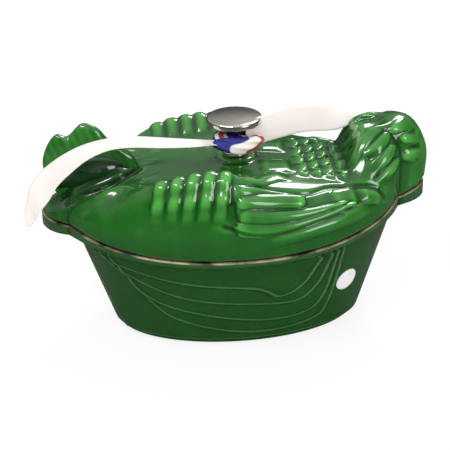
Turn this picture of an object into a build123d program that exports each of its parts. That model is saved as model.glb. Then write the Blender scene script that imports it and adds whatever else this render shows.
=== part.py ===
"""Hen-shaped cast-iron cocotte with a lift-off lid, a screwed knob and a tied ribbon.

Millimetres, +Z up. The origin is the middle of the foot's flat face, the head is
towards -X and the tail towards +X.
"""

import os
from math import cos, exp, pi, radians, sin, sqrt

from build123d import *

# Pot and rim
head_reach = 159.0  # middle of the pot to the end of the head lip
tail_reach = 161.0  # middle of the pot to the end of the tail lip
rim_half_length = 136.0  # the rim's oval, without its two lips
rim_half_width = 87.0
head_lip_half_width = 26.0
tail_lip_half_width = 18.0
lip_blend = 5.0  # how softly the lips run into the oval
lip_blunt = 0.3  # the lips' ends are cut this flat
rim_height = 91.0  # at the middle of the long sides
head_rise = 16.0  # the rim climbs this much to each end
tail_rise = 23.0
foot_half_length = 103.0
foot_half_width = 59.0
foot_corner = 9.0  # radius between foot and wall
wall = 5.0
floor_thickness = 6.0
inner_corner = 14.0
rim_band_height = 4.0  # the band under the rim, at the long sides
lip_thickness = 12.0  # the same band at the two lips

# Feathers on the pot's wall, each row of tips lying over the next
feather_rows = 4
feather_step = 0.8
band_proud = 1.2  # the rim's band over the top row of feathers

# Lid
seam_gap = 0.3  # the lid's edge above the rim
seam_inset = 1.5  # the lid's edge is drawn in over the seam
seam_step = 2.0
edge_height = 5.0
crown_height = 53.0  # lid's back above the rim, at the knob
crown_fall = 13.0  # how much lower the back is 100 mm from the knob
flank_power = 6.0  # how boxy the lid is across
end_power = 8.0  # and along
hollow_power = 2.0  # how much boxier the hollow is
lid_wall = 5.0
wing_height = 19.0
wing_x = -35.0
wing_y = 66.0
wing_length = 46.0
wing_width = 17.0
tail_height = 62.0
tail_width = 40.0
tail_start = 84.0
tail_full = 124.0
head_height = 20.0
head_x = -112.0
head_length = 30.0
head_width = 13.0
collar_height = 9.0
collar_y = 37.0
collar_width = 8.0
flange_depth = 6.0  # the ring that keeps the lid in place
flange_width = 4.0
flange_clearance = 1.2

# Head
comb_thickness = 9.0
comb_edge = 3.0
eye_radius = 4.0

# Knob and its fasteners
knob_x = 4.0
knob_diameter = 48.0
knob_rim = 4.0
knob_crown = 1.5  # how much the top is domed
knob_flare = 10.0  # height over which the neck widens into the disc
knob_foot_height = 4.0
knob_height = 30.0
knob_neck_diameter = 15.0
knob_foot_diameter = 22.0
boss_diameter = 32.0
boss_rise = 3.0
inner_boss_depth = 1.0
screw_diameter = 6.0
screw_clearance = 0.3
screw_head_diameter = 11.0
screw_head_height = 3.5
screw_slot = 1.2
thread_clearance = 0.05
screw_grip = 14.0  # how far the screw goes up into the knob
washer_diameter = 15.0
washer_thickness = 1.2

# Ribbon and label
ribbon_width = 22.0
ribbon_thickness = 0.8
ribbon_gap = 0.3
tie_radius = 4.5  # half the height of the bunched ribbon round the neck
turn_thickness = 2.4
knot_length = 40.0
knot_radius = 8.0
label_diameter = 16.5
label_thickness = 0.3
label_lift = 0.1
label_x = 87.5
label_z = 49.5


base = (Align.CENTER, Align.CENTER, Align.MIN)  # shapes stand on their own origin


def save(name, solid):
    """Write one node."""
    solid.label = name
    export_step(solid, f"parts/{name}.step")


def rim_z(x):
    """Height of the rim, which climbs to both ends."""
    rise = head_rise if x < 0 else tail_rise
    reach = head_reach if x < 0 else tail_reach
    return rim_height + rise * (abs(x) / reach) ** 2.5


def outline_y(x, inset=0.0):
    """Half the rim's width at x: an oval and a lip at each end, softly joined."""
    reach = (head_reach if x < 0 else tail_reach) - inset
    lip = (head_lip_half_width if x < 0 else tail_lip_half_width) - inset
    share = min(abs(x) / reach, 1.0)
    oval = (rim_half_width - inset) * sqrt(max(0.0, 1 - (abs(x) / (rim_half_length - inset)) ** 2.1))
    tongue = lip * sqrt(1 - share**8)
    joined = (oval + tongue + sqrt((oval - tongue) ** 2 + lip_blend**2)) / 2
    return joined * sqrt(1 - share**30)


def lip_ends():
    """The first and the last place along X that the rim reaches."""
    return lip_blunt - head_reach, tail_reach - lip_blunt


def stations(first, last, count):
    """Places along X that crowd together towards both ends."""
    middle, half = (first + last) / 2, (last - first) / 2
    return [middle - half * cos(pi * i / count) for i in range(count + 1)]


def bump(value, centre, spread, power=2.0):
    """A smooth hill of height 1."""
    return exp(-((abs(value - centre) / spread) ** power))


def climb(value, start, full):
    """0 before start, 1 after full and smooth between."""
    share = min(max((value - start) / (full - start), 0.0), 1.0)
    return share * share * (3 - 2 * share)


def back_z(x, y):
    """The hen's back before it rolls off to the rim: wings, tail, head and collar."""
    side = abs(y)
    z = rim_height + crown_height - crown_fall * (x / 100) ** 2
    z += wing_height * bump(x, wing_x, wing_length, 4) * bump(side, wing_y, wing_width)
    z += tail_height * climb(x, tail_start, tail_full) * bump(y, 0, tail_width, 4)
    z += head_height * bump(x, head_x, head_length) * bump(y, 0, head_width)
    z += collar_height * bump(x, head_x, head_length, 4) * bump(side, collar_y, collar_width)
    return z


def roll_off(x, y, half_width, reach, boxier=1.0):
    """1 over the back, falling to 0 at the lid's edge."""
    across = max(0.0, 1 - (abs(y) / half_width) ** (flank_power * boxier))
    along = max(0.0, 1 - (abs(x) / reach) ** (end_power * boxier))
    return sqrt(across * along)


def lid_z(x, y):
    """Outer surface of the lid."""
    low = rim_z(x) + edge_height
    reach = head_reach if x < 0 else tail_reach
    return low + (back_z(x, y) - low) * roll_off(x, y, outline_y(x), reach)


def section(x, half_width, low_z, top_z, half_points):
    """An upright slice at x: flat below, and above it the curve that top_z gives."""
    shares = [sin(pi / 2 * i / half_points) for i in range(-half_points, half_points + 1)]
    crest = [(x, share * half_width, top_z(x, share * half_width)) for share in shares]
    start, end = (x, -half_width, low_z(x)), (x, half_width, low_z(x))
    edges = [Spline(*crest), Line(crest[-1], end), Line(end, start), Line(start, crest[0])]
    return Face(Wire(edges))


def lengthwise(first, last, count, half_width, low_z, top_z, half_points=1):
    """A solid lofted through upright slices along X."""
    slices = [
        section(x, half_width(x), low_z, top_z, half_points) for x in stations(first, last, count)
    ]
    return Solid.make_loft([piece.outer_wire() for piece in slices])


def flat_band(half_width, first, last, low_z, high_z, count=24):
    """A band with level slices whose two faces follow the rim."""
    slices = []
    for x in stations(first, last, count):
        y = half_width(x)
        corners = [(x, -y, low_z(x)), (x, -y, high_z(x)), (x, y, high_z(x)), (x, y, low_z(x))]
        slices.append(Wire.make_polygon(corners))
    return Solid.make_loft(slices)


def below_rim(offset=0.0, margin=60.0):
    """Everything that lies lower than the rim, moved up by offset."""
    first, last = -head_reach - margin, tail_reach + margin
    curve = [(x, 0, rim_z(x) + offset) for x in stations(first, last, 16)]
    bottom = -margin
    edges = [
        Spline(*curve),
        Line(curve[-1], (last, 0, bottom)),
        Line((last, 0, bottom), (first, 0, bottom)),
        Line((first, 0, bottom), curve[0]),
    ]
    return extrude(Face(Wire(edges)), 2 * rim_half_width, both=True, dir=(0, 1, 0))


def wall_allowance():
    """How far the bare wall would stay inside the rim."""
    return feather_rows * feather_step + band_proud


def bowl(inset, bottom, corner):
    """The tapered oval of the pot, inset from its outer feathers."""
    top = rim_height + head_rise + tail_rise
    flare = (top - bottom) / rim_height
    low_x, low_y = foot_half_length - inset, foot_half_width - inset
    grow_x = rim_half_length - foot_half_length - wall_allowance()
    grow_y = rim_half_width - foot_half_width - wall_allowance()
    share = bottom / rim_height
    lower = Pos(0, 0, bottom) * Ellipse(low_x + grow_x * share, low_y + grow_y * share)
    upper = Pos(0, 0, top) * Ellipse(
        low_x + grow_x * (share + flare), low_y + grow_y * (share + flare)
    )
    body = loft([lower, upper])
    return fillet(body.edges().group_by(Axis.Z)[0], corner)


def feather_row(tips):
    """Side view of what lies above one row of feather tips, through the whole pot."""
    top = rim_height + head_rise + tail_rise
    curve = Spline(*[(x, 0, z) for x, z in tips])
    first, last = curve @ 0, curve @ 1
    edges = [
        curve,
        Line(last, (last.X, 0, top)),
        Line((last.X, 0, top), (first.X, 0, top)),
        Line((first.X, 0, top), first),
    ]
    return extrude(Face(Wire(edges)), 2 * rim_half_width, both=True, dir=(0, 1, 0))


def feather_tips():
    """The four rows on the wall, from the lowest: each sags to a tip and climbs again."""
    return [
        [(-101, 88), (-74, 46), (-48, 26), (8, 13), (57, 17), (72, 34), (83, 82)],
        [(-109, 88), (-86, 61), (-58, 42), (8, 27), (48, 27), (66, 42), (77, 82)],
        [(-116, 88), (-92, 73), (-47, 53), (8, 45), (42, 43), (60, 57), (71, 82)],
        [(-122, 90), (-96, 81), (-46, 69), (8, 62), (27, 51), (46, 59), (61, 82)],
    ]


def band_low(x):
    """Underside of the rim's band, which thickens into the two lips."""
    return rim_z(x) - rim_band_height - (lip_thickness - rim_band_height) * (abs(x) / tail_reach) ** 4


def make_pot():
    outer = bowl(0, 0, foot_corner)
    for row, tips in enumerate(feather_tips(), start=1):
        outer += bowl(-feather_step * row, 0, foot_corner) & feather_row(tips)
    outer += flat_band(outline_y, *lip_ends(), band_low, lambda x: rim_z(x) + seam_step)
    return (outer & below_rim()) - bowl(wall, floor_thickness, inner_corner)


def opening_half(axis_half, foot_half, z):
    """Half of the pot's opening along one axis at height z."""
    grow = axis_half - foot_half - wall_allowance()
    return foot_half - wall + grow * z / rim_height


def inner_half_width(x):
    """Half the width of the lid's hollow at x."""
    level = rim_height - flange_depth
    long_half = opening_half(rim_half_length, foot_half_length, level)
    wide_half = opening_half(rim_half_width, foot_half_width, level)
    shrink = flange_clearance + flange_width
    share = min(abs(x) / (long_half - shrink), 1.0)
    return (wide_half - shrink) * sqrt(1 - share**2)


def flange_plug():
    """The oval under the lid that drops inside the pot's opening, before it is hollowed."""
    level = rim_height - flange_depth
    long_half = opening_half(rim_half_length, foot_half_length, level) - flange_clearance
    wide_half = opening_half(rim_half_width, foot_half_width, level) - flange_clearance
    column = extrude(Ellipse(long_half, wide_half), rim_height + head_rise + tail_rise)
    band = flat_band(
        outline_y,
        *lip_ends(),
        lambda x: rim_z(x) - flange_depth,
        lambda x: rim_z(x) + edge_height - 1,
    )
    return column & band


def hollow_z(x, y):
    """Inner surface of the lid, one wall under the hen's back."""
    level = rim_height - flange_depth
    reach = opening_half(rim_half_length, foot_half_length, level) - flange_clearance - flange_width
    low = rim_z(x)
    high = back_z(x, y) - lid_wall
    half_width = max(inner_half_width(x), 1.0)
    return low + (high - low) * roll_off(x, y, half_width, reach, hollow_power)


def lid_hollow():
    level = rim_height - flange_depth
    reach = opening_half(rim_half_length, foot_half_length, level) - flange_clearance - flange_width
    return lengthwise(
        -reach + 1,
        reach - 1,
        18,
        inner_half_width,
        lambda x: rim_z(x) - flange_depth - 1,
        hollow_z,
        7,
    )


def comb():
    """The upright comb on the head, with its lobes."""
    root = rim_height + head_rise
    outline = [(x, 0, root + z) for x, z in comb_lobes()]
    edges = [Spline(*outline), Line(outline[-1], outline[0])]
    plate = extrude(Face(Wire(edges)), comb_thickness / 2, both=True, dir=(0, 1, 0))
    return fillet(plate.faces().filter_by(Axis.Y).edges(), comb_edge)


def comb_lobes():
    """Side view of the comb: places along X and heights above the head lip's rim."""
    front = [(-150, 14), (-152, 40), (-146, 55), (-137, 63), (-131, 61)]
    return [*front, (-118, 69), (-105, 64), (-92, 53), (-78, 40), (-82, 20)]


def head():
    """Skull, beak and eyes, lying lengthwise under the comb."""
    skull_z = lid_z(head_x, 0)
    skull = Pos(head_x - 4, 0, skull_z) * spheroid(head_length, head_width + 2)
    beak = Pos(head_x - head_length + 4, 0, skull_z - 6) * Rot(0, -104, 0) * Cone(9, 2, 20, align=base)
    eyes = [
        Pos(head_x, side * (head_width - 2), skull_z + 3) * Sphere(eye_radius) for side in (-1, 1)
    ]
    return [skull, beak, *eyes]


def make_lid():
    back = lengthwise(*lip_ends(), 24, outline_y, lambda x: rim_z(x) + seam_gap + seam_step, lid_z, 8)
    edge = flat_band(
        lambda x: outline_y(x, seam_inset),
        lip_blunt + seam_inset - head_reach,
        tail_reach - seam_inset - lip_blunt,
        lambda x: rim_z(x) - seam_step,
        lambda x: rim_z(x) + seam_gap + seam_step + 1,
    )
    solid = back.fuse(edge, knob_boss(), comb(), *head())
    solid = solid.cut(below_rim(seam_gap)).fuse(flange_plug()).cut(lid_hollow())
    return solid.fuse(knob_boss()).cut(screw_hole())


def spheroid(half_length, radius):
    """A round body, longer along X than across."""
    upper = Ellipse(half_length, radius) & Pos(0, radius / 2) * Rectangle(2 * half_length, radius)
    return revolve(upper, Axis.X)


def knob_seat():
    """Top of the boss that the knob stands on."""
    return lid_z(knob_x, 0) + boss_rise


def inner_seat():
    """The flat on the lid's inside that the washer lies against."""
    return hollow_z(knob_x, 0) - inner_boss_depth


def knob_boss():
    """The lid's metal round the screw: a boss above, a flat below and the hole."""
    low, high = inner_seat(), knob_seat()
    lower = Pos(knob_x, 0, low) * Cylinder(washer_diameter / 2 + 2, lid_wall, align=base)
    upper_height = high - hollow_z(knob_x, 0)
    upper = Pos(knob_x, 0, high - upper_height) * Cylinder(boss_diameter / 2, upper_height, align=base)
    return lower + upper


def screw_hole():
    return Pos(knob_x, 0, inner_seat() - 1) * Cylinder(
        screw_diameter / 2 + screw_clearance, knob_seat() - inner_seat() + 2, align=base
    )


def make_knob():
    """A turned metal knob: foot, waisted neck and a broad disc, bored from below."""
    foot, neck, disc = knob_foot_diameter / 2, knob_neck_diameter / 2, knob_diameter / 2
    rim_high = knob_height - knob_crown
    rim_low = rim_high - knob_rim
    neck_low, neck_high = knob_foot_height + 2, rim_low - knob_flare
    side = [
        Line((0, 0), (foot, 0)),
        Line((foot, 0), (foot, knob_foot_height)),
        Line((foot, knob_foot_height), (neck, neck_low)),
        Line((neck, neck_low), (neck, neck_high)),
        Spline((neck, neck_high), (disc, rim_low), tangents=[(0.2, 1), (1, 0.25)]),
        ThreePointArc((disc, rim_low), (disc + 0.5, (rim_low + rim_high) / 2), (disc, rim_high)),
        TangentArc((0, knob_height), (disc, rim_high), tangent=(1, 0)),
        Line((0, knob_height), (0, 0)),
    ]
    profile = make_face([Plane.XZ * edge for edge in side])
    bore = Cylinder(screw_diameter / 2 + thread_clearance, screw_grip + 1, align=base)
    return Pos(knob_x, 0, knob_seat()) * (revolve(profile, Axis.Z) - bore)


def make_washer():
    ring = Cylinder(washer_diameter / 2, washer_thickness, align=base)
    hole = Cylinder(screw_diameter / 2 + screw_clearance, washer_thickness, align=base)
    return Pos(knob_x, 0, inner_seat() - washer_thickness) * (ring - hole)


def make_screw():
    """A pan-head screw, put in from under the lid."""
    under = inner_seat() - washer_thickness
    shank = Cylinder(screw_diameter / 2, knob_seat() + screw_grip - under, align=base)
    top = Cylinder(screw_head_diameter / 2, screw_head_height, align=base)
    top = fillet(top.edges().group_by(Axis.Z)[0], screw_head_height / 3)
    slot = Box(screw_head_diameter + 1, screw_slot, screw_slot * 2, align=base)
    return Pos(knob_x, 0, under) * (shank + Pos(0, 0, -screw_head_height) * (top - slot))


def strip(route):
    """A flat ribbon along a route of places, each with a tilt and a share of the width."""
    places = [Vector(x, y, z) for x, y, z, tilt, share in route]
    slices = []
    for i, (x, y, z, tilt, share) in enumerate(route):
        along = (places[min(i + 1, len(route) - 1)] - places[max(i - 1, 0)]).normalized()
        level = along.cross(Vector(0, 0, 1)).normalized()
        upright = level.cross(along).normalized()
        across = level * cos(radians(tilt)) + upright * sin(radians(tilt))
        plane = Plane(places[i], x_dir=across, z_dir=along)
        slices.append((plane * Rectangle(ribbon_width * share, ribbon_thickness)).face().outer_wire())
    return Solid.make_loft(slices)


def tie_z():
    """Height of the ribbon's turn round the knob's neck."""
    return knob_seat() + knob_foot_height + 2 + tie_radius


def left_route():
    """The tail that bows over the hollow beside the head and hangs past the head lip."""
    z = tie_z()
    return [
        (knob_x - 21, -18, z + 2, 30, 0.45),
        (-33, -20, z + 3, 12, 0.75),
        (-58, -22, z + 5, 4, 0.95),
        (-82, -23, z + 7, 4, 1),
        (-101, -24, z + 5, 8, 1),
        (-119, -26, z - 1, 18, 1),
        (-136, -28, z - 11, 32, 1),
        (-149, -29, z - 22, 40, 1),
        (-158, -31, z - 34, 38, 0.95),
        (-164, -32, z - 45, 30, 0.7),
        (-167, -34, z - 55, 24, 0.15),
    ]


def right_route():
    """The tail that stands on edge behind the saddle and drops behind the hen's tail."""
    z = tie_z()
    return [
        (knob_x + 22, -13, z + 3, 80, 0.55),
        (38, -3, z + 10, 88, 1),
        (54, 3, z + 11, 90, 1),
        (68, 8, z + 11, 95, 1),
        (79, 13, z + 9, 112, 1),
        (88, 19, z + 7, 130, 1),
        (96, 28, z + 6, 142, 1),
        (102, 38, z + 5, 150, 0.95),
    ]


def make_knot():
    """The ribbon's turn round the neck and the bulky knot in front of it."""
    neck = knob_neck_diameter / 2 + ribbon_gap
    turn = Cylinder(neck + turn_thickness, 2 * tie_radius) - Cylinder(neck, 2 * tie_radius)
    knot = Rot(0, 90, 0) * Cylinder(knot_radius, knot_length)
    knot = chamfer(knot.edges(), knot_radius * 0.45)
    front = neck + ribbon_gap + knot_radius
    return Pos(knob_x, 0, tie_z()) * (turn + Pos(0, -front, 0) * knot)


def make_label():
    """A round paper label that follows the pot's wall."""
    share = label_z / rim_height
    half_x = foot_half_length + share * (rim_half_length - foot_half_length - wall_allowance())
    half_y = foot_half_width + share * (rim_half_width - foot_half_width - wall_allowance())
    y = -half_y * sqrt(1 - (label_x / half_x) ** 2)
    normal = Vector(label_x / half_x**2, y / half_y**2, -0.3 / half_y)
    punch = Plane((label_x, y, label_z), z_dir=normal) * Cylinder(label_diameter / 2, 3 * label_lift + 6)
    sheet = bowl(-label_lift - label_thickness, 0, foot_corner) - bowl(-label_lift, 0, foot_corner)
    return punch & sheet


save("pot", make_pot())
save("lid", make_lid())
save("knob", make_knob())
save("knob_screw", make_screw())
save("knob_washer", make_washer())
save("ribbon_knot", make_knot())
save("ribbon_left_tail", strip(left_route()))
save("ribbon_right_tail", strip(right_route()))
save("round_label", make_label())
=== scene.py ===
import math

import bmesh
import bpy
import numpy as np
from mathutils import Matrix, Vector


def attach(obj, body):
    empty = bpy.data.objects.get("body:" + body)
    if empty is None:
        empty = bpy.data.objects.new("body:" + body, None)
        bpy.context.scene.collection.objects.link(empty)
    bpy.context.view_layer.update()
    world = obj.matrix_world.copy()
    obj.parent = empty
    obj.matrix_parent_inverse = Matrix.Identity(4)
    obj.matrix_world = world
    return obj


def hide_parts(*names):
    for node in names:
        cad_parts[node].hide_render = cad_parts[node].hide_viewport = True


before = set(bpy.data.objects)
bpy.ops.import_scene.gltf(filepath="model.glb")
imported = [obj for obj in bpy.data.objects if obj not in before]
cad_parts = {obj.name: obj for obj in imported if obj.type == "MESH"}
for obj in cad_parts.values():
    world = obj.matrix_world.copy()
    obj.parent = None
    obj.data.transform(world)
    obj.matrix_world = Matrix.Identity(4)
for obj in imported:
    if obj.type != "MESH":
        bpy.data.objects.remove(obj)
for item in bpy.context.selected_objects:
    item.select_set(False)
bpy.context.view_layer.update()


# Camera: a long lens on the hen's left side, 1.1 m away and looking down on the lid, with
# its place fitted to the outlines of the rim, the foot and the knob.
camera_data = bpy.data.cameras.new("camera")
camera_data.sensor_width = 36.0
camera_data.lens = 97.81
camera_data.clip_start = 0.05
camera_data.clip_end = 30.0
camera = bpy.data.objects.new("camera", camera_data)
camera_right = Vector((0.99609, -0.08168, -0.03358))
camera_up = Vector((0.06632, 0.44079, 0.89516))
camera_back = Vector((-0.05832, -0.89389, 0.44448))
camera.matrix_world = Matrix.Translation((-0.06754, -0.92330, 0.54079)) @ Matrix(
    (camera_right, camera_up, camera_back)
).transposed().to_4x4()
bpy.context.scene.collection.objects.link(camera)
bpy.context.scene.camera = camera
bpy.context.scene.view_settings.view_transform = "Standard"


# Studio: a white room for the camera, and for everything else a soft light that is darker
# towards the horizon, so that the enamel and the steel have something to mirror.
class Wire:
    """A shader socket. Arithmetic on wires adds Math nodes to their tree."""

    def __init__(self, socket):
        self.socket = socket

    @classmethod
    def add(cls, tree, kind, settings=None, inputs=None, output=0):
        """Adds a node, sets it up, then fills its sockets, and gives one of its outputs."""
        node = tree.nodes.new(kind)
        for name, value in (settings or {}).items():
            if name == "stops":
                elements = node.color_ramp.elements
                while len(elements) < len(value):
                    elements.new(0.5)
                for element, (place, colour) in zip(elements, value):
                    element.position = place
                    element.color = (*colour, 1.0)
            else:
                setattr(node, name, value)
        for name, value in (inputs or {}).items():
            if isinstance(value, Wire):
                tree.links.new(value.socket, node.inputs[name])
            else:
                node.inputs[name].default_value = value
        return cls(node.outputs[output]) if node.outputs else None

    def maths(self, operation, other=0.0, reflected=False):
        """This wire and another, or a number, through a Math node."""
        first, second = (other, self) if reflected else (self, other)
        settings, inputs = {"operation": operation}, {0: first, 1: second}
        return Wire.add(self.socket.id_data, "ShaderNodeMath", settings, inputs)

    def __add__(self, other):
        return self.maths("ADD", other)

    def __sub__(self, other):
        return self.maths("SUBTRACT", other)

    def __rsub__(self, other):
        return self.maths("SUBTRACT", other, reflected=True)

    def __mul__(self, other):
        return self.maths("MULTIPLY", other)

    __radd__, __rmul__ = __add__, __mul__


def grey(level):
    """A neutral colour."""
    return (level, level, level)


WHITE = (1.0, 1.0, 1.0, 1.0)
room_stops = [(0.0, grey(0.55)), (1.0, grey(0.8))]
mirrored_stops = [
    (0.0, grey(0.04)),
    (0.28, grey(0.07)),
    (0.44, grey(0.38)),
    (0.62, grey(0.45)),
    (1.0, grey(0.85)),
]
world = bpy.data.worlds.new("studio")
world.use_nodes = True
bpy.context.scene.world = world
sky = world.node_tree
sky.nodes.clear()
direction = Wire.add(sky, "ShaderNodeTexCoord", output="Generated")
height = Wire.add(sky, "ShaderNodeSeparateXYZ", inputs={0: direction}, output="Z")
room = Wire.add(sky, "ShaderNodeValToRGB", {"stops": room_stops}, {"Fac": height}, "Color")
mirrored = Wire.add(sky, "ShaderNodeValToRGB", {"stops": mirrored_stops}, {"Fac": height}, "Color")
is_glossy = Wire.add(sky, "ShaderNodeLightPath", output="Is Glossy Ray")
is_camera = Wire.add(sky, "ShaderNodeLightPath", output="Is Camera Ray")
around = Wire.add(
    sky, "ShaderNodeMix", {"data_type": "RGBA"}, {0: is_glossy, 6: room, 7: mirrored}, 2
)
seen = Wire.add(sky, "ShaderNodeBackground", inputs={"Color": WHITE, "Strength": 1.0})
lit = Wire.add(sky, "ShaderNodeBackground", inputs={"Color": around, "Strength": 1.0})
both = Wire.add(sky, "ShaderNodeMixShader", inputs={0: is_camera, 1: lit, 2: seen})
Wire.add(sky, "ShaderNodeOutputWorld", inputs={"Surface": both})


def soft_light(name, place, target, size, power):
    """A square studio light that points at target."""
    data = bpy.data.lights.new(name, "AREA")
    data.shape = "RECTANGLE"
    data.size, data.size_y = size
    data.energy = power
    light = bpy.data.objects.new(name, data)
    light.location = place
    light.rotation_euler = (Vector(target) - Vector(place)).to_track_quat("-Z", "Y").to_euler()
    bpy.context.scene.collection.objects.link(light)


soft_light("key_light", (-0.55, -0.60, 1.15), (0.0, 0.0, 0.1), (0.95, 0.16), 9.0)
soft_light("back_light", (0.45, 0.75, 1.05), (0.0, 0.0, 0.12), (0.55, 0.25), 8.0)
soft_light("front_fill", (0.9, -1.1, 0.55), (0.0, 0.0, 0.08), (0.5, 0.7), 6.0)


# Floor: a pale matt board that reads white to the camera, keeps a faint shadow of the pot
# and looks dim in the enamel and the steel.
def blank_material(name):
    """A material with an empty node tree."""
    material = bpy.data.materials.new(name)
    material.use_nodes = True
    material.node_tree.nodes.clear()
    return material


FLOOR_WHITENESS = 0.84
bpy.ops.mesh.primitive_plane_add(size=8.0, location=(0.0, 0.0, 0.0))
floor = bpy.context.active_object
floor.name = "floor"
floor.select_set(False)
floor_paint = blank_material("floor_paint")
tree = floor_paint.node_tree
is_glossy = Wire.add(tree, "ShaderNodeLightPath", output="Is Glossy Ray")
is_camera = Wire.add(tree, "ShaderNodeLightPath", output="Is Camera Ray")
board_colours = {0: is_glossy, 6: (*grey(0.9), 1.0), 7: (*grey(0.10), 1.0)}
board_colour = Wire.add(tree, "ShaderNodeMix", {"data_type": "RGBA"}, board_colours, 2)
board = Wire.add(tree, "ShaderNodeBsdfDiffuse", inputs={"Color": board_colour})
glow = Wire.add(tree, "ShaderNodeEmission", inputs={"Color": WHITE, "Strength": 1.0})
shares = {0: is_camera * FLOOR_WHITENESS, 1: board, 2: glow}
shown_floor = Wire.add(tree, "ShaderNodeMixShader", inputs=shares)
Wire.add(tree, "ShaderNodeOutputMaterial", inputs={"Surface": shown_floor})
floor.data.materials.append(floor_paint)


# Pot: one iron casting with tapered oval walls, a flat foot, rows of long feathers on the
# wall and a rim that runs out into two lips. Green enamel outside, matt black inside, and
# the rim's top is ground bare.
HEAD_REACH, TAIL_REACH = 159.0, 161.0
RIM_LENGTH, RIM_WIDTH = 136.0, 87.0
HEAD_LIP, TAIL_LIP = 26.0, 18.0
RIM_HEIGHT, HEAD_RISE, TAIL_RISE = 91.0, 16.0, 23.0
FOOT_LENGTH, FOOT_WIDTH = 103.0, 59.0
WALL = 5.0
WALL_GROWTH = (28.6, 23.6)
BAND_THICK, LIP_THICK = 4.0, 12.0
FOOT_FLAT = (90.0, 47.0)
FOOT_ROUND = 6.0
FLOOR_THICK, FLOOR_ROUND = 6.0, 14.0
ROUND = 520
FEATHER_TIPS = [
    [(-101, 88), (-74, 46), (-48, 26), (8, 13), (57, 17), (72, 34), (83, 82)],
    [(-109, 88), (-86, 61), (-58, 42), (8, 27), (48, 27), (66, 42), (77, 82)],
    [(-116, 88), (-92, 73), (-47, 53), (8, 45), (42, 43), (60, 57), (71, 82)],
    [(-122, 90), (-96, 81), (-46, 69), (8, 62), (27, 51), (46, 59), (61, 82)],
    [(-126, 92), (-118, 66), (-106, 34), (-94, 4), (-76, -14), (0, -22), (140, -22)],
]
FEATHER_STEP, FEATHER_EDGE = 1.0, 0.55
MIDDLE_TONE = 0.45


def smooth(value, start, full):
    """0 before start, 1 after full and smooth between."""
    share = np.clip((value - start) / (full - start), 0.0, 1.0)
    return share * share * (3 - 2 * share)


def rim_z(x):
    """Height of the rim, which climbs to both ends, in millimetres."""
    rise = np.where(x < 0, HEAD_RISE, TAIL_RISE)
    reach = np.where(x < 0, HEAD_REACH, TAIL_REACH)
    return RIM_HEIGHT + rise * (np.abs(x) / reach) ** 2.5


def outline_y(x, inset=0.0):
    """Half the rim's width at x: an oval and a lip at each end, softly joined."""
    reach = np.where(x < 0, HEAD_REACH, TAIL_REACH) - inset
    lip = np.where(x < 0, HEAD_LIP, TAIL_LIP) - inset
    share = np.minimum(np.abs(x) / reach, 1.0)
    oval = (RIM_WIDTH - inset) * np.sqrt(
        np.maximum(0.0, 1 - (np.abs(x) / (RIM_LENGTH - inset)) ** 2.1)
    )
    tongue = lip * np.sqrt(1 - share**8)
    blend = 5.0 + 11.0 * smooth(np.abs(x), 85, 140)
    joined = (oval + tongue + np.sqrt((oval - tongue) ** 2 + blend**2)) / 2
    return joined * np.sqrt(1 - share**30)


# Rays from the middle, closer together where they cross the two narrow lips.
turn = np.linspace(0.0, 2 * math.pi, ROUND, endpoint=False)
turn = turn - 0.16 * np.sin(2 * turn)
ray_x, ray_y = RIM_LENGTH * np.cos(turn), RIM_WIDTH * np.sin(turn)


def rim_ring(inset=0.0):
    """Where the rays meet the rim's outline."""
    near, far = np.zeros(ROUND), np.full(ROUND, 1.4)
    for _ in range(40):
        middle = (near + far) / 2
        inside = np.abs(ray_y * middle) < outline_y(ray_x * middle, inset)
        near, far = np.where(inside, middle, near), np.where(inside, far, middle)
    return near * ray_x, near * ray_y


def oval_ring(half_length, half_width):
    """Where the rays meet an oval."""
    share = 1 / np.sqrt((ray_x / half_length) ** 2 + (ray_y / half_width) ** 2)
    return share * ray_x, share * ray_y


def wall_ring(z, proud):
    """The tapered wall at height z, standing proud of its bare surface."""
    grow = z / RIM_HEIGHT
    return oval_ring(
        FOOT_LENGTH + WALL_GROWTH[0] * grow + proud, FOOT_WIDTH + WALL_GROWTH[1] * grow + proud
    )


def rounded_path(places, steps=12):
    """A smooth curve through the places."""
    p = np.array(places, float)
    p = np.vstack([2 * p[0] - p[1], p, 2 * p[-1] - p[-2]])
    t = np.linspace(0, 1, steps, endpoint=False)[:, None]
    out = []
    for a, b, c, d in zip(p[:-3], p[1:-2], p[2:-1], p[3:]):
        bend, curl = 2 * a - 5 * b + 4 * c - d, 3 * b - 3 * c + d - a
        out.append(0.5 * (2 * b + (c - a) * t + bend * t**2 + curl * t**3))
    return np.vstack([*out, p[-2][None]])


def wall_relief(x, z):
    """How far the feather rows stand out of the wall at (x, z)."""
    proud = np.zeros_like(x)
    for tips in FEATHER_TIPS:
        curve = rounded_path(tips)
        order = np.argsort(curve[:, 0])
        tip = np.interp(x, curve[order, 0], curve[order, 1])
        slope = np.gradient(curve[order, 1], curve[order, 0])
        steep = np.interp(x, curve[order, 0], slope)
        above = (z - tip) / np.sqrt(1 + steep**2)
        above = np.where((x < tips[0][0]) | (x > tips[-1][0]), -5.0, above)
        proud += FEATHER_STEP * smooth(above, -0.6, 0.9)
        proud += FEATHER_EDGE * np.exp(-(((above - 1.6) / 1.3) ** 2))
    return proud


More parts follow.
